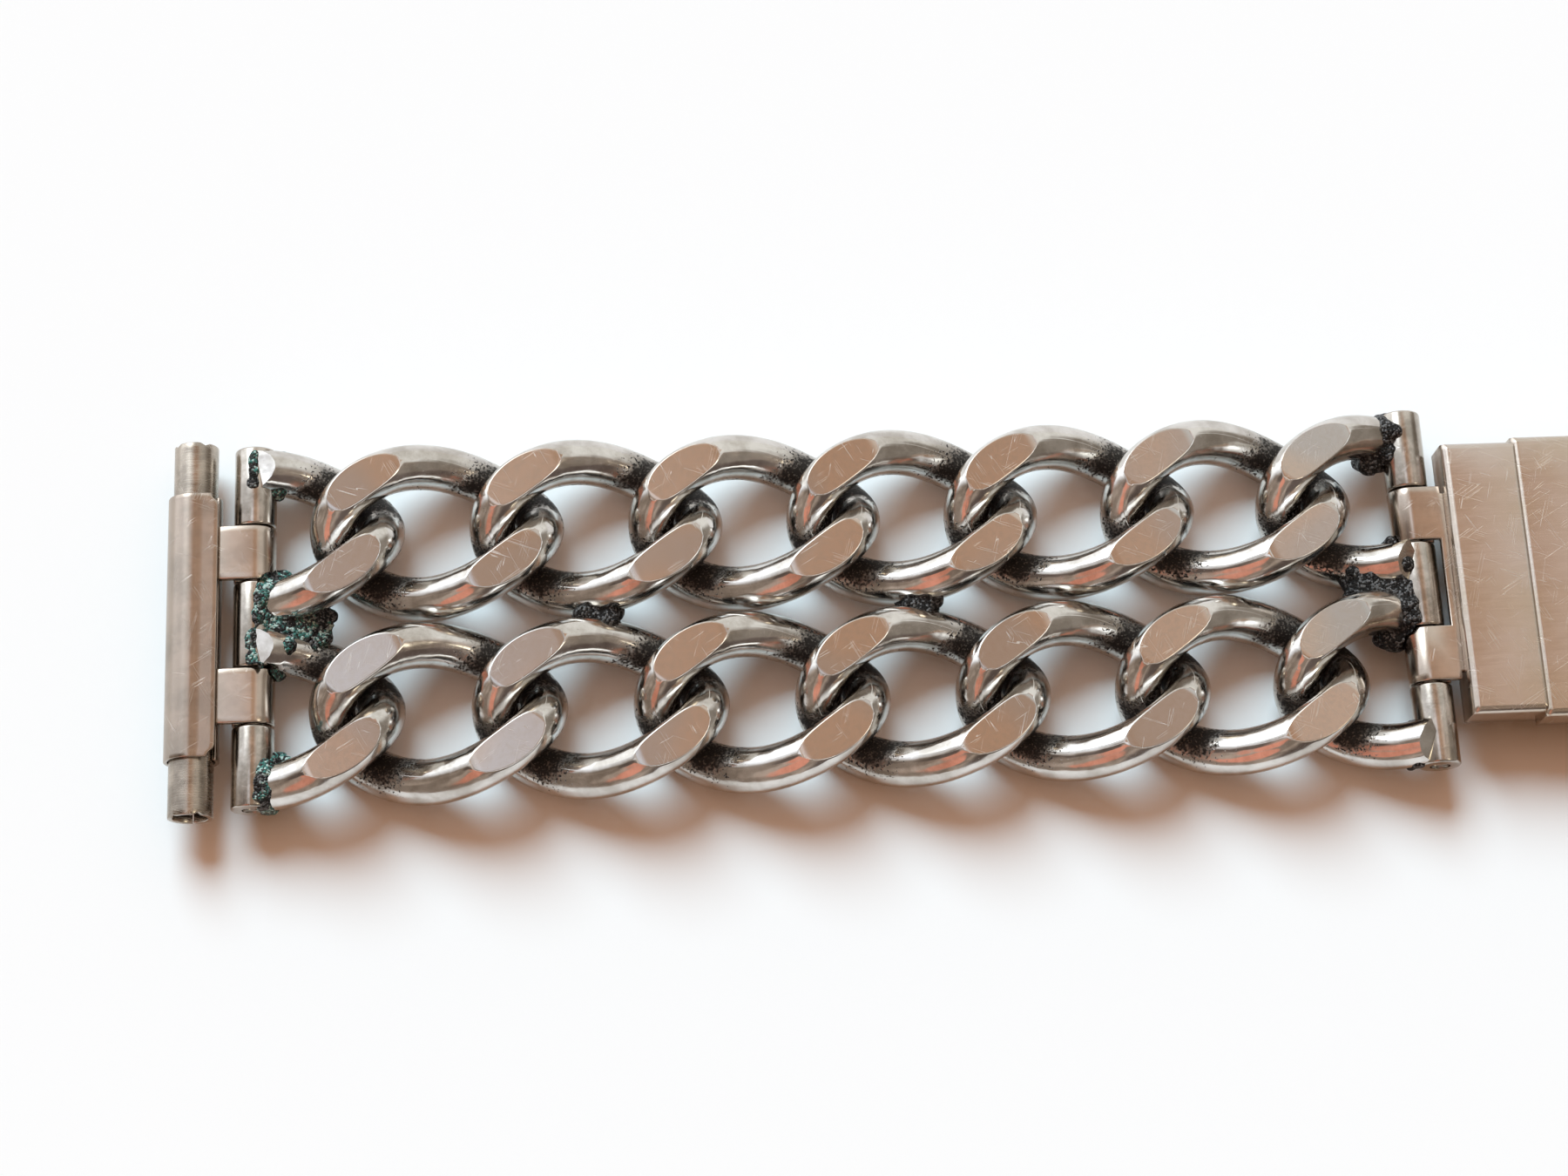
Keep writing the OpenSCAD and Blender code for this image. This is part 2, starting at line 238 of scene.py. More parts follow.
# Bent wire of the links: polished round, ground flat on top, black where two links rub, with painted shade
# near the neighbouring links
wireLook = {
    "polished": (0.75, 0.735, 0.71), "dulled": (0.50, 0.47, 0.43), "scratchAndGlint": (0.93, 0.90, 0.87),
    "ground": (0.60, 0.52, 0.45), "coolGround": (0.53, 0.52, 0.51), "smearAndShade": (0.24, 0.215, 0.19),
    "grime": (0.018, 0.015, 0.013), "grit": (0.16, 0.145, 0.125),
}


def wireMaterial():
    material, tree, shader, place = startMaterial("polishedWire", Metallic=1.0)
    flat = smoothRange(tree, attribute(tree, "ground"), 0.5, 0.75)
    recess = attribute(tree, "recess")
    steel = useGroup(tree, groups["stain"], {"Vector": place, "Clean": (*wireLook["polished"], 1),
                                             "Stained": (*wireLook["dulled"], 1), "Size": 0.55})
    scratches = useGroup(tree, groups["scratches"], {"Vector": place, "Amount": 0.36})["Mask"]
    grime = useGroup(tree, groups["grime"], {"Vector": place, "Recess": recess, "Amount": 1.0})
    grit = cloudNoise(tree, place, 9.0, 2.0)

    # the ground faces differ in tone from link to link
    tone = smoothRange(tree, cloudNoise(tree, place, 0.16, 0.0), 0.46, 0.60)
    mottle = smoothRange(tree, cloudNoise(tree, place, 5.0, 3.0), 0.42, 0.66, 0.0, 0.32)
    onFlat = mixColour(tree, tone, wireLook["ground"], wireLook["coolGround"])
    # the scratches on the ground faces are painted lighter, a painted glint where they catch light
    onFlat = mixColour(tree, maths(tree, "MULTIPLY", scratches, 0.45), onFlat, wireLook["scratchAndGlint"])
    onFlat = mixColour(tree, mottle, onFlat, wireLook["dulled"])
    colour = mixColour(tree, flat, steel["Color"], onFlat)

    # painted shade: the wire darkens in the smear's tint where a neighbouring link is close; black dirt lies
    # in the recesses and never on the ground faces
    smearAndShade = maths(tree, "MULTIPLY", smoothRange(tree, recess, 0.12, 0.8), 0.8)
    colour = mixColour(tree, smearAndShade, colour, wireLook["smearAndShade"])
    dirt = maths(tree, "MAXIMUM", grime["Mask"], grime["Speckle"])
    dirt = maths(tree, "MULTIPLY", dirt, maths(tree, "SUBTRACT", 1.0, flat))
    black = mixColour(tree, smoothRange(tree, grit, 0.56, 0.68), wireLook["grime"], wireLook["grit"])
    colour = mixColour(tree, dirt, colour, black)

    polish = smoothRange(tree, streaks(tree, place, 0.3, 2.0, 0.35, 3.0), 0.3, 0.75, 0.09, 0.21)
    roughness = mixValue(tree, flat, polish, mixValue(tree, scratches, 0.20, 0.5))
    roughness = mixValue(tree, dirt, roughness, 0.6)
    metallic = smoothRange(tree, dirt, 0.2, 0.9, 1.0, 0.3)

    dents = cloudNoise(tree, place, 0.7, 1.5)
    waves = maths(tree, "MULTIPLY", dents, maths(tree, "SUBTRACT", 1.1, flat))
    cuts = maths(tree, "MULTIPLY", maths(tree, "MULTIPLY", scratches, flat), -0.06)
    caked = maths(tree, "MULTIPLY", maths(tree, "MULTIPLY", dirt, grit), 0.9)
    alongX = addNode(tree, "ShaderNodeSeparateXYZ", {0: place}).outputs["X"]
    slope = maths(tree, "MULTIPLY", attribute(tree, "tilt"), alongX)
    height = maths(tree, "ADD", maths(tree, "ADD", waves, slope), maths(tree, "ADD", cuts, caked))
    values = {"Base Color": colour, "Roughness": roughness, "Metallic": metallic}
    connect(tree, shader, values, height, 0.6, 0.07)
    return material


# Rolled and soldered parts share one recipe with their own values
def agedSteel(name, clean, stained, roughness, grain=0.4, dirt=0.3, scratchAndGlint=0.45, size=0.45):
    material, tree, shader, place = startMaterial(name, Metallic=1.0)
    steel = useGroup(tree, groups["stain"], {"Vector": place, "Clean": (*clean, 1),
                                             "Stained": (*stained, 1), "Size": size})
    lines = useGroup(tree, groups["grain"], {"Vector": place, "Coarse": 0.8})["Value"]
    scratches = useGroup(tree, groups["scratches"], {"Vector": place, "Amount": scratchAndGlint})["Mask"]
    grime = useGroup(tree, groups["grime"], {"Vector": place, "Recess": dirt, "Amount": 0.5})["Mask"]
    shade = smoothRange(tree, lines, 0.3, 0.7, 1.0 - 0.25 * grain, 1.0 + 0.12 * grain)
    grey = addNode(tree, "ShaderNodeCombineColor", {"Red": shade, "Green": shade, "Blue": shade})
    colour = mixColour(tree, 1.0, steel["Color"], grey.outputs[0], "MULTIPLY")
    # the scratches are painted lighter, a painted glint where they catch light
    colour = mixColour(tree, maths(tree, "MULTIPLY", scratches, 0.3), colour, wireLook["scratchAndGlint"])
    colour = mixColour(tree, maths(tree, "MULTIPLY", grime, 0.8), colour, wireLook["smearAndShade"])
    rough = smoothRange(tree, lines, 0.25, 0.75, roughness - 0.15 * grain, roughness + 0.2 * grain)
    rough = mixValue(tree, maths(tree, "MULTIPLY", scratches, 0.6), rough, roughness + 0.18)
    rough = mixValue(tree, grime, rough, 0.6)
    cuts = maths(tree, "MULTIPLY", scratches, -0.25)
    height = maths(tree, "ADD", maths(tree, "MULTIPLY", lines, grain), cuts)
    connect(tree, shader, {"Base Color": colour, "Roughness": rough}, height, 0.5, 0.02)
    return material


# Solder: granular, dark grey to black, with green copper bloom on some of it
solderLook = {
    "dark": (0.020, 0.020, 0.020), "grey": (0.20, 0.205, 0.21), "bloom": (0.05, 0.19, 0.165),
    "pale": (0.44, 0.57, 0.52),
}


def solderMaterial(name, bloom):
    material, tree, shader, place = startMaterial(name)
    lumps = cloudNoise(tree, place, 1.1, 3.0)
    grains = addNode(tree, "ShaderNodeTexVoronoi", {"Vector": place, "Scale": 9.0}).outputs
    tone = addNode(tree, "ShaderNodeSeparateColor", {0: grains["Color"]}).outputs["Red"]
    colour = mixColour(tree, smoothRange(tree, tone, 0.62, 0.8), solderLook["dark"], solderLook["grey"])
    green = smoothRange(tree, lumps, 0.74 - 0.4 * bloom, 0.82 - 0.4 * bloom)
    bloomed = mixColour(tree, smoothRange(tree, tone, 0.35, 0.55), solderLook["dark"], solderLook["bloom"])
    bloomed = mixColour(tree, smoothRange(tree, tone, 0.72, 0.85), bloomed, solderLook["pale"])
    colour = mixColour(tree, green, colour, bloomed)
    roughness = mixValue(tree, tone, 0.38, 0.62)
    metallic = maths(tree, "MULTIPLY", maths(tree, "SUBTRACT", 1.0, green), 0.7, clamp=True)
    height = maths(tree, "SUBTRACT", maths(tree, "MULTIPLY", lumps, 0.8), grains["Distance"])
    values = {"Base Color": colour, "Roughness": roughness, "Metallic": metallic}
    connect(tree, shader, values, height, 0.9, 0.10)
    return material


materials = {
    "wire": wireMaterial(),
    "knuckle": agedSteel("knuckleSteel", (0.60, 0.56, 0.51), (0.36, 0.33, 0.29), 0.20,
                         grain=0.08, dirt=0.62, scratchAndGlint=0.2, size=0.8),
    "pin": agedSteel("drawnPin", (0.66, 0.64, 0.61), (0.5, 0.49, 0.47), 0.24, dirt=0.2),
    "sheet": agedSteel("satinSheet", (0.60, 0.525, 0.455), (0.48, 0.42, 0.365), 0.22,
                       grain=0.08, dirt=0.30, scratchAndGlint=0.3),
    "sleeve": agedSteel("wornSleeve", (0.49, 0.42, 0.36), (0.38, 0.335, 0.29), 0.24,
                        grain=0.10, dirt=0.36, scratchAndGlint=0.42),
    "tube": agedSteel("tarnishedTube", (0.52, 0.465, 0.40), (0.32, 0.285, 0.245), 0.25, dirt=0.6, size=0.9),
    "cover": agedSteel("brushedCover", (0.635, 0.575, 0.525), (0.58, 0.505, 0.415), 0.24,
                       grain=0.18, dirt=0.10, scratchAndGlint=0.5, size=0.2),
    "strip": agedSteel("rolledStrip", (0.56, 0.55, 0.53), (0.44, 0.43, 0.42), 0.36, dirt=0.35),
    "spring": agedSteel("springStrip", (0.46, 0.47, 0.49), (0.34, 0.34, 0.36), 0.26, grain=0.6, dirt=0.2),
    "solder": solderMaterial("blackSolder", 0.0),
    "greenSolder": solderMaterial("greenedSolder", 0.75),
}
print("materials made:", len(materials))


# Mesh helpers
def clamp(value, low, high):
    return max(low, min(high, value))


def centreOf(node):
    low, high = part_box(node)
    return (low + high) / 2


def finishPiece(name, bm, material, body, nodes, sharp=None):
    bmesh.ops.recalc_face_normals(bm, faces=bm.faces)
    mesh = bpy.data.meshes.new(name)
    bm.to_mesh(mesh)
    bm.free()
    mesh.materials.append(materials[material])
    mesh.shade_smooth()
    if sharp is not None:
        mesh.set_sharp_from_angle(angle=math.radians(sharp))
    piece = bpy.data.objects.new(name, mesh)
    bpy.context.scene.collection.objects.link(piece)
    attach(piece, body)
    if nodes:
        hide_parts(*nodes)
    return piece


def addModifier(piece, kind, **settings):
    modifier = piece.modifiers.new(kind.lower(), kind)
    for key, value in settings.items():
        setattr(modifier, key, value)


def softenEdges(piece, width, angle=50):
    limit = math.radians(angle)
    addModifier(piece, "BEVEL", width=width, segments=2, limit_method="ANGLE", angle_limit=limit)


def thicken(piece, sheet, edge, offset=0.0):
    addModifier(piece, "SOLIDIFY", thickness=sheet, offset=offset, use_even_offset=True)
    softenEdges(piece, edge)


def addGrid(bm, rows, closeRows=False, closeColumns=False):
    vertexRows = [[bm.verts.new(p) for p in row] for row in rows]
    count, width = len(vertexRows), len(vertexRows[0])
    for i in range(count if closeRows else count - 1):
        for j in range(width if closeColumns else width - 1):
            a, b = vertexRows[i], vertexRows[(i + 1) % count]
            k = (j + 1) % width
            bm.faces.new((a[j], a[k], b[k], b[j]))
    return vertexRows


def addLathe(bm, centre, profile, steps=56):
    # profile is a closed loop of (place along Y, radius)
    rows = []
    for i in range(steps):
        angle = 2 * math.pi * i / steps
        ring = Vector((math.cos(angle), 0, math.sin(angle)))
        rows.append([centre + Vector((0, y, 0)) + ring * r for y, r in profile])
    addGrid(bm, rows, closeRows=True, closeColumns=True)


def deleteLoose(bm):
    bmesh.ops.delete(bm, geom=[v for v in bm.verts if not v.link_faces], context="VERTS")


# Hinge knuckles, whose sizes the wire ends, the solder and the sheet parts share; wrap and fold are degrees
knuckle = {
    "diameter": 2.1 * mm, "bore": 1.02 * mm, "edge": 0.12 * mm, "middleHalf": 2.2 * mm,
    "outerStart": 5.2 * mm, "tabStart": 2.3 * mm, "tabLength": 2.8 * mm, "sheet": 0.4 * mm,
    "wrap": 300, "fold": 60, "pinEdge": 0.18 * mm, "pinCore": 0.02 * mm,
}
knuckleR = knuckle["diameter"] / 2


# Curb links
wire = {
    "diameter": 2.3 * mm, "pitch": 8 * mm, "slack": 0.16 * mm, "width": 9.2 * mm, "endRadius": 3.1 * mm,
    "rowGap": 0.2 * mm, "twist": math.radians(45), "columns": 6, "lean": (-1.3, 0.9),
    "rings": 132, "arcPoints": 7, "flatPoints": 3, "leastFlat": 0.09, "worn": 0.045,
    "grimeAndShadeReach": 2.6 * mm, "grimeAndShadeHeight": 0.15 * mm, "clearHeight": 1.1 * mm, "nearPoints": 180,
}
wireR = wire["diameter"] / 2
halfA = (wire["pitch"] + wire["diameter"] + wire["slack"]) / 2
halfB = (wire["width"] - wire["diameter"]) / 2
fullness = (1 - halfB ** 2 / (halfA * wire["endRadius"])) / 2
rowY = (wire["width"] + wire["rowGap"]) / 2
chainLow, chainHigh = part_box("left_links_3")
chainMid = (chainLow.z + chainHigh.z) / 2
groundZ = (chainHigh.z - chainLow.z) / 2


def linkPoint(t):
    # the wire's middle line: an oval, fuller or slimmer than an ellipse, twisted about its length
    x = -halfA * math.cos(t) * (1 + fullness * math.sin(t) ** 2)
    s = halfB * math.sin(t)
    turn = -wire["twist"] * x / halfA
    return Vector((x, s * math.cos(turn), s * math.sin(turn)))


def sectionAngles(centreZ, reachZ, middle):
    # points of one section: two ground faces with worn edges, and the round wire between them
    angles = []
    edge = wire["worn"]
    for side in (1, -1):
        cut = (groundZ - side * centreZ) / reachZ
        half = max(wire["leastFlat"], math.acos(clamp(cut, -1.0, 1.0)))
        start = middle if side == 1 else middle + math.pi
        inner = [half * k / (wire["flatPoints"] + 1) for k in range(1, wire["flatPoints"] + 1)]
        spread = [-half - 2 * edge, -half - edge, -half + edge * 0.6, -half + edge * 1.6]
        face = spread + [(-1 + 2 * i / half) * (half - 2 * edge) for i in inner] + [-a for a in spread[::-1]]
        angles.append([start + a for a in face])
    between = []
    for i in (0, 1):
        first = angles[i][-1]
        last = angles[1 - i][0] + (2 * math.pi if i == 1 else 0)
        steps = wire["arcPoints"] + 1
        between.append([first + (last - first) * k / steps for k in range(1, steps)])
    return angles[0] + between[0] + angles[1] + between[1]


def linkRing(t):
    centre = linkPoint(t)
    step = 0.004
    along = (linkPoint(t + step) - linkPoint(t - step)).normalized()
    turn = -wire["twist"] * centre.x / halfA
    normal = Vector((0, -math.sin(turn), math.cos(turn)))
    out = along.cross(normal).normalized()
    up = out.cross(along)
    reach = wireR * math.hypot(out.z, up.z)
    middle = math.atan2(up.z, out.z)
    points = []
    for angle in sectionAngles(centre.z, reach, middle):
        p = centre + wireR * (math.cos(angle) * out + math.sin(angle) * up)
        p.z = clamp(p.z, -groundZ, groundZ)
        points.append(p)
    return points


def markWire(piece, neighbours):
    # "ground" is 1 on the ground faces, "recess" rises to 1 where the wire is low and a neighbour is close;
    # it places the grime and the painted shade
    mesh = piece.data
    steps = wire["nearPoints"]
    tree = KDTree(len(neighbours) * steps)
    for number, place in enumerate(neighbours):
        for i in range(steps):
            tree.insert(place + linkPoint(2 * math.pi * i / steps), number * steps + i)
    tree.balance()
    ground = mesh.attributes.new("ground", "FLOAT", "POINT")
    recess = mesh.attributes.new("recess", "FLOAT", "POINT")
    rise = wire["clearHeight"] - wire["grimeAndShadeHeight"]
    for i, vertex in enumerate(mesh.vertices):
        height = abs(vertex.co.z - chainMid)
        gap = tree.find(vertex.co)[2] - wireR
        near = 1 - clamp(gap / wire["grimeAndShadeReach"], 0.0, 1.0) ** 1.5
        low = 1 - clamp((height - wire["grimeAndShadeHeight"]) / rise, 0.0, 1.0)
        ground.data[i].value = 1.0 if height > groundZ - 0.001 * mm else 0.0
        recess.data[i].value = near * (0.12 + 0.88 * low)


def leanFlats(piece, upper, lower):
    # a slope for the bump height of each row, because the faces weren't all ground level
    tilt = piece.data.attributes.new("tilt", "FLOAT", "POINT")
    tilt.data.foreach_set("value", [upper if v.co.y > 0 else lower for v in piece.data.vertices])


def chainPlaces(side, number):
    # middles of the two links of a column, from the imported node
    x = centreOf(f"{side}_links_{number}").x
    return [Vector((x, y, chainMid)) for y in (rowY, -rowY)]


def buildWholeLinks():
    rings = [linkRing(2 * math.pi * i / wire["rings"]) for i in range(wire["rings"])]
    shift = Vector((wire["pitch"], 0, 0))
    for side in sideNames:
        for number in range(1, wire["columns"] + 1):
            bm = bmesh.new()
            places = chainPlaces(side, number)
            for place in places:
                addGrid(bm, [[p + place for p in ring] for ring in rings], closeRows=True, closeColumns=True)
            node = f"{side}_links_{number}"
            piece = finishPiece(f"{node}_wire", bm, "wire", node, [node])
            markWire(piece, [p + s * shift for p in places for s in (-1, 1)])
            rng = random.Random(f"lean{node}")
            leanFlats(piece, rng.uniform(*wire["lean"]), rng.uniform(*wire["lean"]))


# Half links: one end lies over the knuckle and is filed off, the other is soldered low against its side
halfLink = {
    "overAxis": 0.05 * mm, "besideAxis": {"watch": 0.75 * mm, "centre": 1.15 * mm},
    "slant": {"watch": (0.27, 0.0, 1.0), "centre": (0.55, 0.30, 1.0)},
    "filedZ": {"watch": 1.0 * mm, "centre": 0.80 * mm}, "filedAt": 0.1 * mm, "filedReach": 2.6 * mm,
    "lean": {"watch": -0.9, "centre": 2.6}, "tabSide": 2.22 * mm, "innerWires": 3 * mm,
}


def wireStart(away):
    # angle along the link where its wire is this far from the middle, on the cut side
    return math.acos(clamp(away / (halfA * (1 + fullness)), -1.0, 1.0))


def clearOfTab(p, hinge):
    # the inner wires stay clear of the tabs that turn beside them
    if abs(p.x - hinge) < knuckleR * 1.15 and abs(p.y) < halfLink["innerWires"]:
        p.y = clamp(p.y, -halfLink["tabSide"], halfLink["tabSide"])
    return p


def fileEnd(bm, at, outward, end):
    # files the high end of a wire to a slanting face
    near = [v for v in bm.verts
            if abs(v.co.y - at.y) < wireR * 1.15 and abs(v.co.x - at.x) < halfLink["filedReach"]]
    faces = {f for v in near for f in v.link_faces}
    edges = {e for f in faces for e in f.edges}
    slant = halfLink["slant"][end]
    normal = Vector((outward * slant[0], -outward * slant[1], slant[2])).normalized()
    point = at + Vector((-outward * halfLink["filedAt"], 0, halfLink["filedZ"][end]))
    cut = bmesh.ops.bisect_plane(bm, geom=list(near) + list(edges) + list(faces), plane_co=point,
                                 plane_no=normal, clear_outer=True, dist=1e-7)
    rim = [e for e in cut["geom_cut"] if isinstance(e, bmesh.types.BMEdge) and len(e.link_faces) == 1]
    bmesh.ops.edgeloop_fill(bm, edges=rim)


def buildHalfLinks():
    count = wire["rings"] * 2 // 3
    for side in sideNames:
        for end in endNames:
            node = f"{side}_{end}_half_links"
            low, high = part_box(node)
            hinge = centreOf(f"{side}_{end}_pin").x
            toChain = 1 if (low.x + high.x) / 2 > hinge else -1
            middle = high.x - halfA - wireR if toChain > 0 else low.x + halfA + wireR
            reach = abs(middle - hinge)
            first = wireStart(reach - halfLink["overAxis"])
            last = 2 * math.pi - wireStart(reach - halfLink["besideAxis"][end])
            bm = bmesh.new()
            for row in (rowY, -rowY):
                place = Vector((middle, row, chainMid))
                rings = []
                for i in range(count):
                    ring = linkRing(first + (last - first) * i / (count - 1))
                    ring = [place + Vector((toChain * p.x, toChain * p.y, p.z)) for p in ring]
                    rings.append([clearOfTab(p, hinge) for p in ring])
                grid = addGrid(bm, rings, closeColumns=True)
                bm.faces.new(grid[0][::-1])
                bm.faces.new(grid[-1])
                fileEnd(bm, Vector((hinge, row + toChain * halfB, chainMid)), -toChain, end)
            body = f"{side}_{end}_end"
            piece = finishPiece(f"{node}_wire", bm, "wire", body, [node], 26)
            markWire(piece, chainPlaces(side, 1 if end == "watch" else wire["columns"]))
            lean = halfLink["lean"][end] * toChain
            leanFlats(piece, lean, lean)


buildWholeLinks()
buildHalfLinks()
print("links made")


# Solder: lumps fused with a voxel remesh, then roughened. The lumps' own numbers are in millimetres.
solder = {
    "voxel": 0.1 * mm, "smoothing": 8, "rough": 0.07 * mm, "roughSize": 0.55 * mm,
    "tabGap": 1.08, "margin": 0.05 * mm, "crustTop": {"watch": 74, "centre": 42},
    "seamLumps": {"watch": 16, "centre": 0}, "lowLumps": 46, "highLumps": 22, "dripLumps": 16,
    "webLumps": 90, "crustLumps": 110, "beadLumps": 22,
}


def buildSolder(name, lumps, body, material, seed):
    bm = bmesh.new()
    for place, radius, stretch in lumps:
        matrix = Matrix.Translation(place) @ Matrix.Diagonal((*stretch, 1.0))
        bmesh.ops.create_icosphere(bm, subdivisions=2, radius=radius, matrix=matrix)
    piece = finishPiece(name, bm, material, body, ())
    addModifier(piece, "REMESH", mode="VOXEL", voxel_size=solder["voxel"])
    addModifier(piece, "SMOOTH", iterations=solder["smoothing"], factor=0.5)
    bpy.context.view_layer.update()
    graph = bpy.context.evaluated_depsgraph_get()
    solid = bpy.data.meshes.new_from_object(piece.evaluated_get(graph), depsgraph=graph)
    piece.modifiers.clear()
    offset = Vector((seed * 3.1, seed * 1.7, 0))
    for vertex, normal in zip(solid.vertices, [v.normal.copy() for v in solid.vertices]):
        rough = noise.fractal(vertex.co / solder["roughSize"] + offset, 0.8, 2.0, 4)
        vertex.co += normal * rough * solder["rough"]
    solid.shade_smooth()
    piece.data = solid
    solid.materials.clear()
    solid.materials.append(materials[material])
    return piece


def highCollar(rng, centre, toChain, seam):
    # a fillet under the filed end of a wire, and a seam of small lumps across the knuckle
    lumps = []
    for _ in range(solder["highLumps"]):
        angle = math.radians(rng.uniform(175, 365))
        out = wireR * rng.uniform(0.5, 0.98)
        along = rng.uniform(0.75, 1.35)
        spot = Vector((toChain * along * mm, out * math.cos(angle), out * math.sin(angle) * 0.95))
        lumps.append((centre + spot, rng.uniform(0.34, 0.46) * mm, (1.0, 1.1, 1.0)))
    for _ in range(seam):
        spot = Vector((toChain * rng.uniform(-0.12, 0.12), rng.uniform(-0.85, 0.85),
                       rng.uniform(0.66, 0.74))) * mm
        lumps.append((centre + spot, rng.uniform(0.22, 0.3) * mm, (1.0, 1.4, 1.0)))
    return lumps


def lowCollar(rng, centre, toChain, start):
    # a thick ring round the low end of a wire, and a drip into the link
    ring = centre + Vector((toChain * (start - 0.25) * mm, 0, 0))
    lumps = [(ring, 1.0 * mm, (0.6, 1.34, 1.3))]
    for _ in range(solder["lowLumps"]):
        angle = 2 * math.pi * rng.random()
        out = wireR * rng.uniform(0.82, 1.06)
        along = rng.uniform(0.45, start + 0.1)
        spot = Vector((toChain * along * mm, out * math.cos(angle), out * math.sin(angle) * 0.95))
        lumps.append((centre + spot, rng.uniform(0.34, 0.46) * mm, (1.0, 1.1, 1.0)))
    for _ in range(solder["dripLumps"]):
        spot = Vector((toChain * (start + rng.uniform(-0.1, 0.9)), toChain * rng.uniform(0.8, 1.4),
                       rng.uniform(-0.7, 0.2))) * mm
        lumps.append((centre + spot, rng.uniform(0.40, 0.54) * mm, (1.1, 1.0, 1.0)))
    return lumps


def web(rng, hinge, toChain):
    # the solder that fills the corner between the middle knuckle and the two wires beside it
    lumps = [(hinge + Vector((toChain * 1.8, 0, -0.1)) * mm, 1.0 * mm, (1.9, 1.6, 0.8))]
    for _ in range(solder["webLumps"]):
        along = rng.uniform(0.6, 3.7)
        past = max(0.0, along - 1.2)
        wide = 1.95 - 0.42 * past
        high = 0.85 - 0.35 * past
        spot = Vector((toChain * along, rng.uniform(-wide, wide), rng.uniform(-0.8, high))) * mm
        lumps.append((hinge + spot, (rng.uniform(0.42, 0.56) - 0.04 * along) * mm, (1.2, 1.1, 0.9)))
    return lumps


def crust(rng, hinge, toChain, top):
    # thin spread of solder over the chain's side of the middle knuckle, up to an angle above the pin
    lumps = []
    for _ in range(solder["crustLumps"]):
        angle = math.radians(rng.uniform(-10, top))
        spot = Vector((toChain * math.cos(angle), 0, math.sin(angle))) * knuckleR * 0.86
        spot.y = toChain * rng.uniform(0.02, 0.92) * knuckle["middleHalf"]
        lumps.append((hinge + spot, rng.uniform(0.28, 0.36) * mm, (1.0, 1.5, 1.0)))
    return lumps


def keepClearOfTab(piece, hinge, toChain):
    # the tabs turn on the pin beside the knuckles, so solder there stays outside their path
    least = knuckleR * solder["tabGap"]
    turned = math.radians(90 - knuckle["fold"])
    fold = Vector((toChain * math.cos(turned), 0, math.sin(turned)))
    side = rowY + halfB + wireR + solder["margin"]
    for vertex in piece.data.vertices:
        vertex.co.y = clamp(vertex.co.y, -side, side)
        across = abs(vertex.co.y)
        if knuckle["middleHalf"] - solder["margin"] < across < knuckle["outerStart"] + solder["margin"]:
            away = Vector((vertex.co.x - hinge.x, 0, vertex.co.z - hinge.z))
            if away.length < least:
                vertex.co += away.normalized() * (least - away.length)
                away = away.normalized() * least
            short = least - away.dot(fold)
            if short > 0 and away.z > 0.5 * away.length:
                vertex.co += fold * short


def buildKnuckleSolder():
    lift = 0.2 * mm
    for side in sideNames:
        for end in endNames:
            hinge = centreOf(f"{side}_{end}_pin")
            toChain = 1 if centreOf(f"{side}_{end}_half_links").x > hinge.x else -1
            across = toChain * halfB * 0.97
            start = halfLink["besideAxis"][end] / mm
            rng = random.Random(f"{side}{end}")
            lumps = []
            for row in (rowY, -rowY):
                high = hinge + Vector((0, row + across, lift))
                lumps += highCollar(rng, high, toChain, solder["seamLumps"][end])
                low = hinge + Vector((0, row - across, -lift))
                lumps += lowCollar(rng, low, toChain, start)
            lumps += web(rng, hinge, toChain) + crust(rng, hinge, toChain, solder["crustTop"][end])
            look = "greenSolder" if end == "watch" else "solder"
            piece = buildSolder(f"{side}_{end}_solder", lumps, f"{side}_{end}_end", look, 1 + len(lumps) % 5)
            keepClearOfTab(piece, hinge, toChain)


def buildBeads():
    # beads that join the two links of a column
    for side in sideNames:
        for number in (2, 4):
            node = f"{side}_links_{number}"
            x = centreOf(node).x
            rng = random.Random(f"bead{side}{number}")
            lumps = [(Vector((x, 0, chainMid - 0.1 * mm)), 1.0 * mm, (0.95, 0.75, 0.72))]
            for _ in range(solder["beadLumps"]):
                along = rng.uniform(-0.95, 0.95)
                wide = 0.45 + 0.3 * along * along
                spot = Vector((along * mm, rng.uniform(-wide, wide) * mm, rng.uniform(-0.7, 0.55) * mm))
                spot += Vector((x, 0, chainMid))
                lumps.append((spot, rng.uniform(0.34, 0.52) * mm, (1.2, 1.0, 0.85)))
            buildSolder(f"{side}_bead_{number}", lumps, node, "solder", number)


buildKnuckleSolder()
buildBeads()
print("solder made")


# Hinges: knuckles soldered to the chain, with their pin
def tubeProfile(start, end, outer, inner, edge):
    # a tube's section along Y with rounded outer edges, as (place along Y, radius)
    corner = [(math.sin(a), math.cos(a)) for a in (math.pi / 2 * k / 4 for k in range(5))]
    right = [(end - edge + edge * s, outer - edge + edge * c) for s, c in corner]
    left = [(start + edge - edge * s, outer - edge + edge * c) for s, c in corner[::-1]]
    return right + [(end, inner), (start, inner)] + left


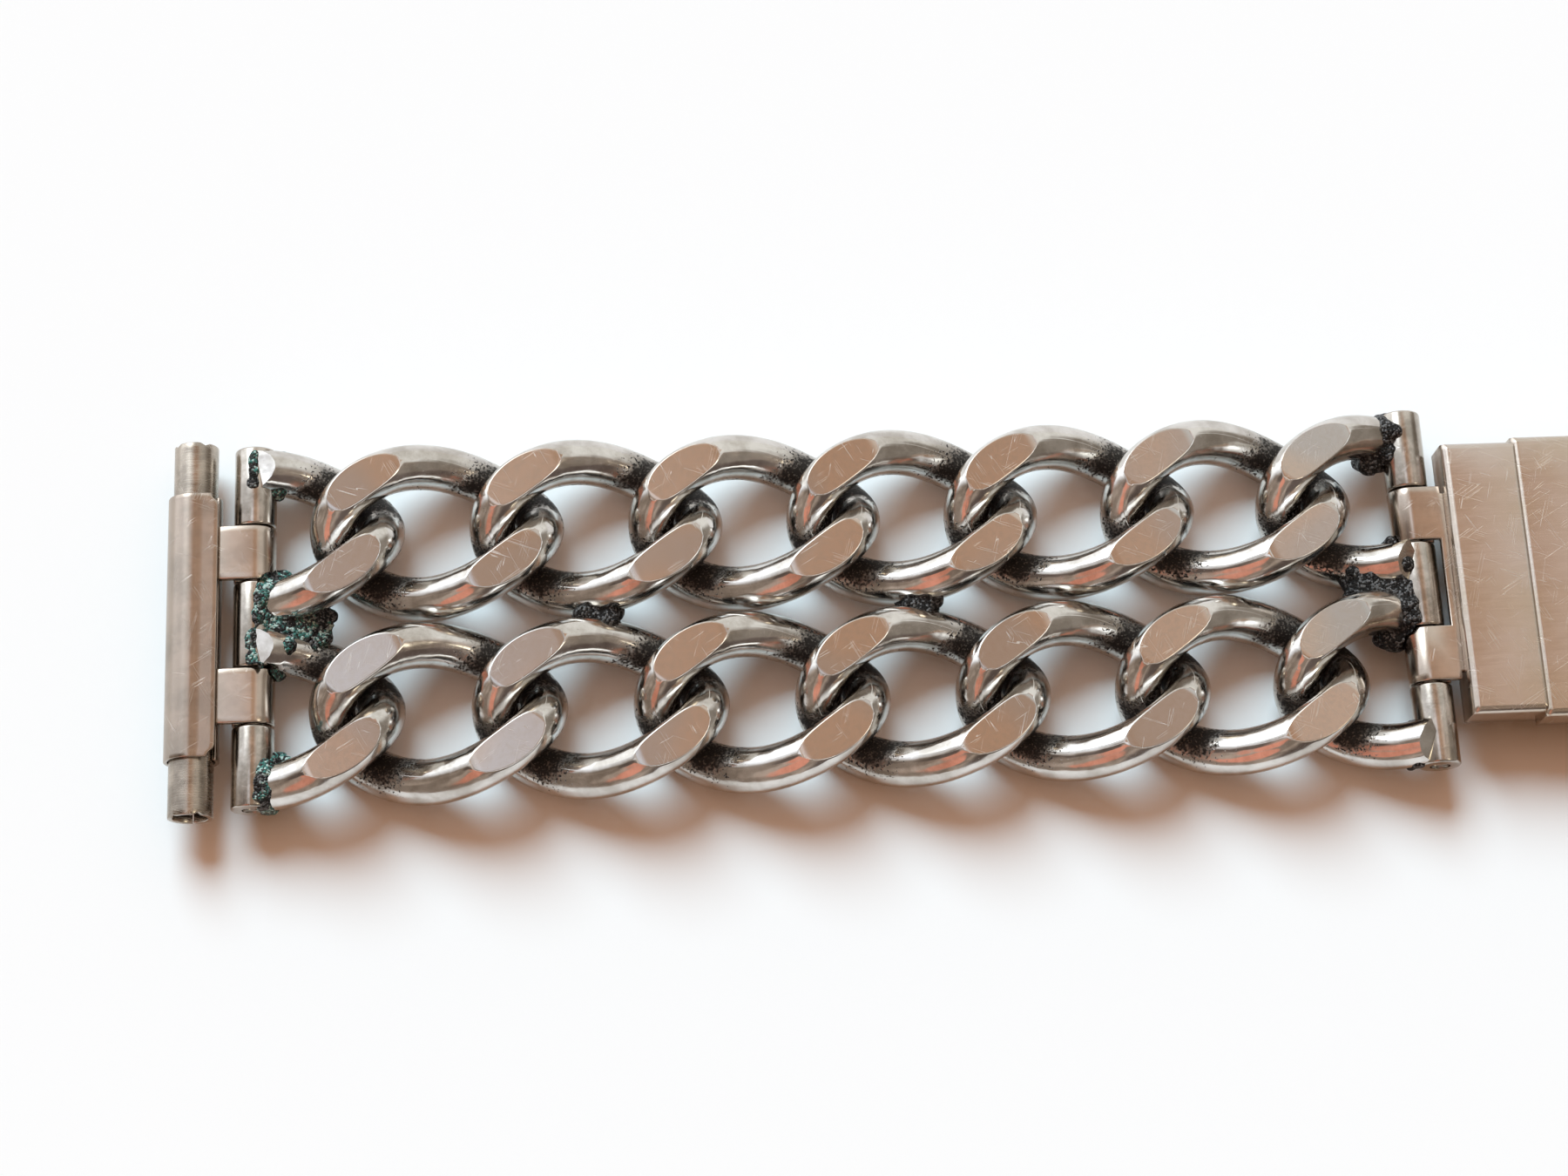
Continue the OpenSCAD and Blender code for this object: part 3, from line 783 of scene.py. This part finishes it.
def buildKnuckles():
    for side in sideNames:
        for end in endNames:
            hinge = centreOf(f"{side}_{end}_pin")
            axis = Vector((hinge.x, 0, hinge.z))
            body = f"{side}_{end}_end"
            node = f"{side}_{end}_knuckles"
            low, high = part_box(node)
            spans = ((low.y, -knuckle["outerStart"]), (-knuckle["middleHalf"], knuckle["middleHalf"]),
                     (knuckle["outerStart"], high.y))
            bm = bmesh.new()
            for start, stop in spans:
                addLathe(bm, axis, tubeProfile(start, stop, knuckleR, knuckle["bore"] / 2, knuckle["edge"]))
            finishPiece(f"{node}_tubes", bm, "knuckle", body, [node], 40)
            node = f"{side}_{end}_pin"
            low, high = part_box(node)
            radius = (high.z - low.z) / 2
            bm = bmesh.new()
            profile = tubeProfile(low.y, high.y, radius, knuckle["pinCore"], knuckle["pinEdge"])
            addLathe(bm, axis, profile, 40)
            finishPiece(f"{node}_rod", bm, "pin", body, [node], 50)


buildKnuckles()


# Sheet parts are bent surfaces that a Solidify modifier thickens
def sheetPiece(name, rows, thickness, material, body, nodes, edge):
    bm = bmesh.new()
    addGrid(bm, rows)
    thicken(finishPiece(name, bm, material, body, nodes), thickness, edge)


def strapPath(run, hingeX, sign, radius):
    # the run's points above the pin's height, then a turn round the pin; sign is the way that the strap runs
    steps = 30
    path = list(run)
    for k in range(steps + 1):
        angle = math.radians(90 - knuckle["wrap"] * k / steps)
        path.append((hingeX + sign * radius * math.cos(angle), radius * math.sin(angle)))
    return path


# Watch ends. The strap's points are (place from the sleeve's axis, height), and angles are degrees.
sleeve = {
    "diameter": 2.7 * mm, "sheet": 0.2 * mm, "length": 13.6 * mm, "reach": 3.0 * mm, "innerEnd": 22.0,
    "lip": 1.32 * mm, "lipFrom": 0.35 * mm, "lipZ": 1.17 * mm, "cutBack": 0.4 * mm, "cutLength": 0.5 * mm,
    "strap": ((1.12 * mm, 0.80 * mm), (1.5 * mm, 0.83 * mm), (1.9 * mm, 0.85 * mm), (2.4 * mm, 0.85 * mm)),
    "edge": 0.04 * mm, "strapEdge": 0.07 * mm,
}
tube = {
    "diameter": 2.2 * mm, "bore": 1.7 * mm, "seam": 2.5, "edge": 0.035 * mm,
    "notch": 0.14 * mm, "notchAt": (58, 141), "notchWidth": 14,
}


def buildSleeves():
    radius = (sleeve["diameter"] - sleeve["sheet"]) / 2
    half = sleeve["length"] / 2
    first = math.degrees(math.acos(sleeve["lipFrom"] / radius))
    steps = 60
    roll = []
    for j in range(steps + 1):
        angle = math.radians(first + (360 + sleeve["innerEnd"] - first) * j / steps)
        roll.append((radius * math.cos(angle), radius * math.sin(angle)))
    rollZ = roll[0][1]
    for side in sideNames:
        node = f"{side}_end_sleeve"
        body = f"{side}_sleeve"
        hinge = centreOf(f"{side}_watch_pin")
        toChain = 1 if side == "left" else -1
        axis = Vector((hinge.x - toChain * sleeve["reach"], 0, hinge.z))
        rows = []
        for k in range(steps + 1):
            y = -half + 2 * half * k / steps
            back = clamp((1 - (half - abs(y)) / sleeve["cutLength"]) * 1.4, 0.0, 1.0)
            lip = sleeve["lip"] - sleeve["cutBack"] * back
            # the free edge stands off the roll as a lip, cut back at the sleeve's two ends
            line = []
            for share in (1.0, 0.75, 0.5, 0.25):
                x = sleeve["lipFrom"] + (lip - sleeve["lipFrom"]) * share
                line.append((x, rollZ + (sleeve["lipZ"] - rollZ) * share))
            rows.append([axis + Vector((toChain * x, y, z)) for x, z in line + roll])
        sheetPiece(f"{node}_roll", rows, sleeve["sheet"], "sleeve", body, [node],
                   sleeve["edge"])
        run = [(axis.x + toChain * x, z) for x, z in sleeve["strap"]]
        path = strapPath(run, hinge.x, toChain, knuckleR - knuckle["sheet"] / 2)
        for number, start in ((1, -knuckle["tabStart"] - knuckle["tabLength"]), (2, knuckle["tabStart"])):
            ys = [start + knuckle["tabLength"] * j / 8 for j in range(9)]
            rows = [[Vector((x, y, hinge.z + z)) for y in ys] for x, z in path]
            sheetPiece(f"{node}_strap_{number}", rows, knuckle["sheet"], "sheet", body, (),
                       sleeve["strapEdge"])


def notchDepth(degrees):
    # the tube's outer rim is bitten at two places
    bites = [1 - abs(degrees - spot) / tube["notchWidth"] for spot in tube["notchAt"]]
    return tube["notch"] * max(0.0, *bites)


def buildTubes():
    radius = (tube["diameter"] + tube["bore"]) / 4
    rings = 24
    steps = 56
    for side in sideNames:
        for where, outward in (("back", 1), ("front", -1)):
            node = f"{side}_tube_{where}"
            low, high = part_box(node)
            axis = (low + high) / 2
            inside = low.y if outward > 0 else high.y
            rows = []
            for k in range(rings + 1):
                row = []
                for j in range(steps + 1):
                    degrees = 270 + tube["seam"] + (360 - 2 * tube["seam"]) * j / steps
                    angle = math.radians(degrees)
                    length = high.y - low.y - (notchDepth(degrees - 360) if k == rings else 0.0)
                    y = inside + outward * length * k / rings
                    x = axis.x + radius * math.cos(angle)
                    row.append(Vector((x, y, axis.z + radius * math.sin(angle))))
                rows.append(row)
            sheetPiece(f"{node}_roll", rows, (tube["diameter"] - tube["bore"]) / 2, "tube", node, [node],
                       tube["edge"])


buildSleeves()
buildTubes()
print("watch ends made")


# Hinge leaf: a plate with a window, two rolled tabs and a tongue that goes into the end cover
leaf = {"window": 1.15 * mm, "narrow": 0.4 * mm, "shoulder": 1.38 * mm, "edge": 0.06 * mm}


def buildLeaves():
    radius = knuckleR - knuckle["sheet"] / 2
    tabEnd = knuckle["tabStart"] + knuckle["tabLength"]
    tongue = tabEnd - leaf["narrow"]
    columns = (-tabEnd, -tongue, -knuckle["tabStart"], knuckle["tabStart"], tongue, tabEnd)
    for side in sideNames:
        node = f"{side}_hinge_leaf"
        low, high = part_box(node)
        hinge = centreOf(f"{side}_centre_pin")
        toMiddle = 1 if side == "left" else -1
        far = high.x if toMiddle > 0 else low.x
        stations = [(far, radius), (hinge.x + toMiddle * leaf["shoulder"], radius)]
        stations += strapPath([(hinge.x + toMiddle * leaf["window"], radius)], hinge.x, -toMiddle, radius)
        bm = bmesh.new()
        rows = [[bm.verts.new((x, y, hinge.z + z)) for y in columns] for x, z in stations]
        for i in range(len(rows) - 1):
            for j in range(len(columns) - 1):
                # the first strip is the tongue, the second the full plate, and the rest only the two tabs
                inTongue = 1 <= j <= 3
                inTab = j != 2
                if (i == 0 and inTongue) or i == 1 or (i > 1 and inTab):
                    bm.faces.new((rows[i][j], rows[i][j + 1], rows[i + 1][j + 1], rows[i + 1][j]))
        deleteLoose(bm)
        piece = finishPiece(f"{node}_plate", bm, "sheet", f"{side}_end_cover", [node])
        thicken(piece, knuckle["sheet"], leaf["edge"])


# Covers: a folded tray with rounded long edges, and the spring box under it
cover = {
    "sheet": 0.25 * mm, "longRadius": 0.13 * mm, "endRadius": 0.12 * mm, "skirt": 0.1 * mm,
    "edge": 0.03 * mm, "slotHalf": 4.72 * mm, "slotGap": 0.03 * mm, "boxWall": 0.15 * mm,
    "boxHalf": 6.35 * mm, "boxCorner": 0.2 * mm, "boxSeam": 0.25 * mm, "boxEdge": 0.02 * mm,
}


def foldPath(half, radius, drops, steps):
    # one side of a folded profile, from its skirt to its top, as (place, drop below the top)
    path = [(-half, d) for d in drops[::-1]]
    for k in range(steps + 1):
        angle = math.pi / 2 * k / steps
        path.append((radius - half - radius * math.cos(angle), radius - radius * math.sin(angle)))
    return path


def buildCovers():
    leafTop = centreOf("left_centre_pin").z + knuckleR
    for node in ["centre_cover"] + [f"{s}_{p}_cover" for s in sideNames for p in ("inner", "end")]:
        body = "centre" if node == "centre_cover" else node
        low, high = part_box(node)
        middle = (low + high) / 2
        slotTop = high.z - leafTop - cover["slotGap"]
        slotDrops = [slotTop, slotTop + knuckle["sheet"] + 2 * cover["slotGap"]]
        drops = slotDrops + [high.z - low.z - cover["skirt"]]
        xs = foldPath((high.x - low.x) / 2, cover["longRadius"], drops, 7)
        xs += [(0, 0)] + [(-x, d) for x, d in xs[::-1]]
        ys = foldPath((high.y - low.y) / 2, cover["endRadius"], [cover["longRadius"]] + drops, 4)
        ys += [(y, 0) for y in (-cover["slotHalf"], 0, cover["slotHalf"])] + [(-y, d) for y, d in ys[::-1]]
        bm = bmesh.new()
        grid = [[bm.verts.new((middle.x + x, middle.y + y, high.z - max(dx, dy))) for y, dy in ys]
                for x, dx in xs]
        for i in range(len(xs) - 1):
            # the leaf goes in through a slot in the outer long wall of an end cover
            slotted = node == ("left_end_cover" if i < len(xs) // 2 else "right_end_cover")
            dropsX = (xs[i][1], xs[i + 1][1])
            for j in range(len(ys) - 1):
                inSlot = slotted and set(dropsX) == set(slotDrops) \
                    and max(abs(ys[j][0]), abs(ys[j + 1][0])) <= cover["slotHalf"]
                inCorner = max(dropsX) >= slotTop and max(ys[j][1], ys[j + 1][1]) >= slotTop
                if not inSlot and not inCorner:
                    bm.faces.new((grid[i][j], grid[i + 1][j], grid[i + 1][j + 1], grid[i][j + 1]))
        deleteLoose(bm)
        bmesh.ops.remove_doubles(bm, verts=bm.verts, dist=1e-7)
        piece = finishPiece(f"{node}_shell", bm, "cover", body, [node], 60)
        # the sheet thickens inwards, whichever way its faces point
        up = piece.data.polygons[len(piece.data.polygons) // 2].normal.z
        thicken(piece, cover["sheet"], cover["edge"], -1.0 if up > 0 else 1.0)
        buildSpringBox(node, body, low, high)


def buildSpringBox(node, body, low, high):
    # a strip folded into a flat tube, open at both ends, pressed into the cover
    inset = cover["boxWall"] / 2 + cover["sheet"]
    r = cover["boxCorner"]
    left, right = low.x + inset + r, high.x - inset - r
    bottom, top = low.z + cover["boxWall"] / 2 + r, high.z - inset - r
    outline = []
    for x, z, start in ((right, bottom, 270), (right, top, 0), (left, top, 90), (left, bottom, 180)):
        for k in range(5):
            angle = math.radians(start + 90 * k / 4)
            outline.append((x + r * math.cos(angle), z + r * math.sin(angle)))
    middle = (left + right) / 2
    outline.insert(0, (middle + cover["boxSeam"], bottom - r))
    outline.append((middle - cover["boxSeam"], bottom - r))
    ys = [-cover["boxHalf"] + 2 * cover["boxHalf"] * k / 6 for k in range(7)]
    rows = [[Vector((x, y, z)) for x, z in outline] for y in ys]
    sheetPiece(f"{node}_box", rows, cover["boxWall"], "strip", body, (), cover["boxEdge"])


buildLeaves()
buildCovers()
print("expansion section made")


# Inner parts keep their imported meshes, with softened edges and a finish of their own
innerParts = {"lower_link": ("strip", 0.05 * mm), "spring": ("spring", None), "staples": ("pin", 0.06 * mm)}


def dressNodes():
    shown = {name: node for name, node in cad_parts.items() if not node.hide_render}
    for name, node in shown.items():
        for word, (material, edge) in innerParts.items():
            if word in name:
                node.data.materials.clear()
                node.data.materials.append(materials[material])
                addModifier(node, "WELD", merge_threshold=0.002 * mm)
                if edge:
                    softenEdges(node, edge, 40)
                break


dressNodes()


# Studio: a white floor, a soft key from the far side, and a plain room that the steel can reflect
studio = {
    "floorSeen": (0.985, 0.985, 0.985), "floorReflected": (0.97, 0.955, 0.94),
    "ambient": (0.73, 0.46, 0.33), "ambientNear": (0.23, 0.10, 0.04),
    "key": 3.78, "keyAngle": 36, "keyColour": (0.635, 0.88, 1.0),
    "keyFrom": Vector((-0.44, 1.31, 1.27)), "keyTo": Vector((-0.04, 0, 0)),
}
# What the steel reflects: bright walls at the far left, a brown ceiling, and darker and warmer patches
room = {
    "near": (0.30, 0.235, 0.19), "nearLight": (0.52, 0.42, 0.35), "far": (0.92, 0.90, 0.85),
    "farLeft": (1.15, 1.18, 1.26), "brightWall": (1.7, 1.75, 1.8), "window": (4.0, 4.3, 4.5),
    "right": (0.30, 0.26, 0.22), "shade": (0.15, 0.115, 0.10), "lamp": (4.0, 3.6, 2.8),
    "ceiling": (0.54, 0.325, 0.205), "ceilingLight": (0.66, 0.46, 0.34), "ceilingPale": (0.84, 0.69, 0.60),
    "ceilingCool": (1.15, 1.16, 1.24), "rose": (0.86, 0.36, 0.25),
}
# A patch has its colour, its direction, and the cosines to it where it starts and where it is full
wallPatches = (
    ("brightWall", (-0.60, 0.75, 0.15), 0.78, 0.93),
    ("window", (-0.42, 0.62, 0.66), 0.955, 0.975),
    ("right", (1, 0, 0), 0.68, 0.86),
    ("shade", (0.50, -0.80, 0.12), 0.80, 0.93),
    ("shade", (0.63, -0.60, 0.48), 0.965, 0.985),
    ("lamp", (0.60, -0.15, 0.80), 0.990, 0.995),
)
ceilingPatches = (
    ("shade", (-0.60, -0.10, 0.79), 0.972, 0.988),
    ("shade", (0.30, -0.22, 0.92), 0.987, 0.995),
)
rosePatches = (((-0.37, -0.42, 0.83), 0.968, 0.978), ((-0.37, -0.78, 0.50), 0.965, 0.975))


def addFloor():
    bm = bmesh.new()
    bmesh.ops.create_grid(bm, x_segments=1, y_segments=1, size=1.5)
    mesh = bpy.data.meshes.new("floor")
    bm.to_mesh(mesh)
    bm.free()
    floor = bpy.data.objects.new("floor", mesh)
    bpy.context.scene.collection.objects.link(floor)
    material = bpy.data.materials.new("paleFloor")
    material.use_nodes = True
    tree = material.node_tree
    shader = tree.nodes["Principled BSDF"]
    seen = addNode(tree, "ShaderNodeLightPath").outputs["Is Camera Ray"]
    colour = mixColour(tree, seen, studio["floorReflected"], studio["floorSeen"])
    tree.links.new(colour, shader.inputs["Base Color"])
    shader.inputs["Roughness"].default_value = 0.95
    shader.inputs["Specular IOR Level"].default_value = 0.1
    mesh.materials.append(material)


def addWorld():
    world = bpy.data.worlds.new("room")
    bpy.context.scene.world = world
    world.use_nodes = True
    tree = world.node_tree
    direction = addNode(tree, "ShaderNodeTexCoord").outputs["Generated"]
    parts = addNode(tree, "ShaderNodeSeparateXYZ", {0: direction}).outputs

    def towards(vector, low, high):
        unit = Vector(vector).normalized()
        dot = addNode(tree, "ShaderNodeVectorMath", {0: direction, 1: unit}, operation="DOT_PRODUCT")
        return smoothRange(tree, dot.outputs["Value"], low, high)

    def paint(colour, factor, name):
        return mixColour(tree, factor, colour, room[name])

    # walls: blotched near the camera, lighter on the far side
    blotch = smoothRange(tree, cloudNoise(tree, direction, 3.2, 1.0), 0.42, 0.60)
    walls = mixColour(tree, blotch, room["near"], room["nearLight"])
    farSide = smoothRange(tree, parts["Y"], 0.05, 0.42)
    walls = paint(walls, farSide, "far")
    toLeft = smoothRange(tree, parts["X"], -0.15, -0.5)
    walls = paint(walls, maths(tree, "MULTIPLY", farSide, toLeft), "farLeft")
    for name, vector, low, high in wallPatches:
        walls = paint(walls, towards(vector, low, high), name)

    # ceiling: clouded brown, paler to the right, cool to the left
    cloud = smoothRange(tree, cloudNoise(tree, direction, 9.0, 2.0), 0.42, 0.60)
    ceiling = mixColour(tree, cloud, room["ceiling"], room["ceilingLight"])
    ceiling = paint(ceiling, smoothRange(tree, parts["X"], 0.16, 0.34), "ceilingPale")
    cool = maths(tree, "MULTIPLY", smoothRange(tree, parts["X"], -0.06, -0.11),
                 smoothRange(tree, parts["Y"], 0.33, 0.27))
    ceiling = paint(ceiling, cool, "ceilingCool")
    walls = mixColour(tree, towards((0.08, 0.16, 1), 0.915, 0.945), walls, ceiling)
    for name, vector, low, high in ceilingPatches:
        walls = paint(walls, towards(vector, low, high), name)
    walls = paint(walls, maths(tree, "MAXIMUM", *(towards(*patch) for patch in rosePatches)), "rose")

    # glossy rays see the room, the camera sees white, and all else is lit by a plain warm light
    paths = addNode(tree, "ShaderNodeLightPath").outputs
    fromFar = smoothRange(tree, parts["Y"], -0.7, 0.7)
    ambient = mixColour(tree, fromFar, studio["ambientNear"], studio["ambient"])
    colour = mixColour(tree, paths["Is Glossy Ray"], ambient, walls)
    colour = mixColour(tree, paths["Is Camera Ray"], colour, (1.0, 1.0, 1.0))
    tree.links.new(colour, tree.nodes["Background"].inputs["Color"])


def addKey():
    data = bpy.data.lights.new("key", "SUN")
    data.energy = studio["key"]
    data.color = studio["keyColour"]
    data.angle = math.radians(studio["keyAngle"])
    light = bpy.data.objects.new("key", data)
    light.location = studio["keyFrom"]
    light.rotation_euler = (studio["keyTo"] - studio["keyFrom"]).to_track_quat("-Z", "Y").to_euler()
    light.visible_glossy = False
    bpy.context.scene.collection.objects.link(light)


addFloor()
addWorld()
addKey()
addCamera()
bpy.context.scene.view_settings.view_transform = "Standard"
print("studio made")
